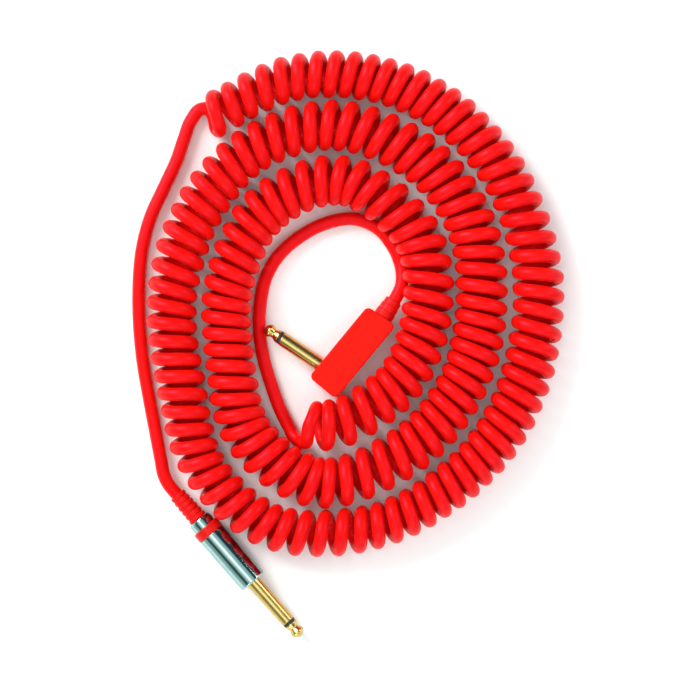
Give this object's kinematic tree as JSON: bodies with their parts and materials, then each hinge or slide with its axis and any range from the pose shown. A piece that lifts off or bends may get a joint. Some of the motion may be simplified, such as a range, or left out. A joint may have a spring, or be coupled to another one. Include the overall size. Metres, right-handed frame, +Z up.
{
  "type": "instrument cable",
  "caption": "Coiled cord laid in a flat spiral between a straight and a right-angle 6.35 mm mono plug; the straight plug's barrel unscrews and slides back with its strain relief.",
  "frame": {"origin": "on the surface the cable lies on, at the middle of the right-angle plug's flat underside", "axes": "+Z up, square to the right-angle plug's flat underside; +X and +Y across and up the spiral, with the spiral's start and the straight plug on its -X side"},
  "size_m": [0.1946, 0.2635, 0.022],
  "materials": {
    "red_jacket": "satin",
    "red_boot": "satin",
    "red_body": "satin",
    "red_ring": "gloss",
    "chrome_barrel": "polished",
    "gold_plate": "polished",
    "black_plastic": "satin",
    "nickel_plate": "satin",
    "liner": "satin",
    "wire_insulation": "satin",
    "copper_braid": "satin",
    "solder": "satin"
  },
  "bodies": {
    "cable": {"tip_contact": "gold_plate", "front_insulator": "black_plastic", "sleeve_contact": "gold_plate", "ground_clamp": "nickel_plate", "rear_insulator": "black_plastic", "tip_terminal": "nickel_plate", "core_wire": "wire_insulation", "shield_tail": "copper_braid", "solder_joints": "solder", "angle_tip_contact": "gold_plate", "angle_front_insulator": "black_plastic", "angle_sleeve_contact": "gold_plate", "angle_ground_lug": "nickel_plate", "angle_rear_insulator": "black_plastic", "angle_tip_terminal": "nickel_plate", "angle_housing": "red_body", "angle_boot": "red_boot", "angle_ferrule": "nickel_plate", "angle_core_wire": "wire_insulation", "angle_shield_tail": "copper_braid", "angle_solder_joints": "solder", "outer_lead": "red_jacket", "curly_cord": "red_jacket", "inner_lead": "red_jacket"},
    "boot": {"strain_relief_boot": "red_boot"},
    "barrel": {"barrel_shell": "chrome_barrel", "colour_ring": "red_ring", "rear_collar": "chrome_barrel", "insulating_liner": "liner"}
  },
  "joints": [
    {"name": "boot_travel", "type": "slide", "parent": "cable", "child": "boot", "axis": [-0.6587, 0.7524, 0], "range_m": [0, 0.005]},
    {"name": "barrel_turn", "type": "hinge", "parent": "boot", "child": "barrel", "pos_m": [-0.05448, -0.09221, 0.0066], "axis": [-0.6587, 0.7524, 0], "range_deg": [0, 1800]}
  ],
  "couplings": [
    {"joint": "barrel_turn", "follows": "boot_travel", "rad_per_m": 6283.2}
  ]
}
